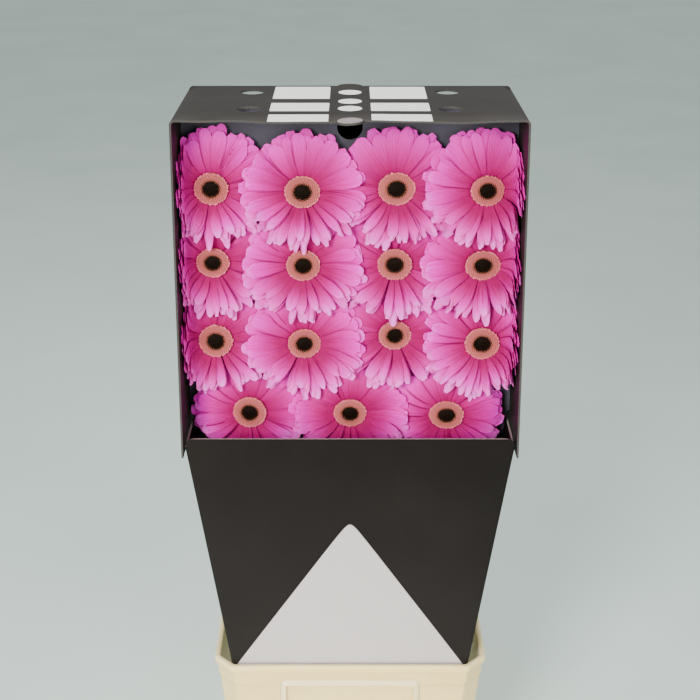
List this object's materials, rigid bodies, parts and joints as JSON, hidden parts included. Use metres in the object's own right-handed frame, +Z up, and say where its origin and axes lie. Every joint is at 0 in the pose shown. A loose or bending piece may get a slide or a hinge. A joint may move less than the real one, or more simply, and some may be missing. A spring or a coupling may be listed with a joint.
{
  "type": "cut gerberas in a display carton and water bucket",
  "caption": "Cut pink gerberas shown face-on in an open-fronted black card carton, their stems standing in water in a cream bucket.",
  "frame": {"origin": "on the ground under the middle of the object's box, in the plane that the bucket stands on", "axes": "+Z up, the carton's open front and the blooms face -Y, +X to the right as seen from the front"},
  "size_m": [0.339, 0.185, 0.773],
  "materials": {
    "black_card": "matte",
    "bucket_plastic": "satin",
    "water": "gloss",
    "petal": "satin",
    "disc": "matte",
    "stem": "satin"
  },
  "bodies": {
    "root": {"bucket": "bucket_plastic", "water": "water", "hood": "black_card", "hopper": "black_card", "head_panel": "black_card", "petals_11": "petal", "disc_11": "disc", "stem_11": "stem", "petals_12": "petal", "disc_12": "disc", "stem_12": "stem", "petals_13": "petal", "disc_13": "disc", "stem_13": "stem", "petals_14": "petal", "disc_14": "disc", "stem_14": "stem", "petals_21": "petal", "disc_21": "disc", "stem_21": "stem", "petals_22": "petal", "disc_22": "disc", "stem_22": "stem", "petals_23": "petal", "disc_23": "disc", "stem_23": "stem", "petals_24": "petal", "disc_24": "disc", "stem_24": "stem", "petals_31": "petal", "disc_31": "disc", "stem_31": "stem", "petals_32": "petal", "disc_32": "disc", "stem_32": "stem", "petals_33": "petal", "disc_33": "disc", "stem_33": "stem", "petals_34": "petal", "disc_34": "disc", "stem_34": "stem", "petals_41": "petal", "disc_41": "disc", "stem_41": "stem", "petals_42": "petal", "disc_42": "disc", "stem_42": "stem", "petals_43": "petal", "disc_43": "disc", "stem_43": "stem"}
  },
  "joints": []
}
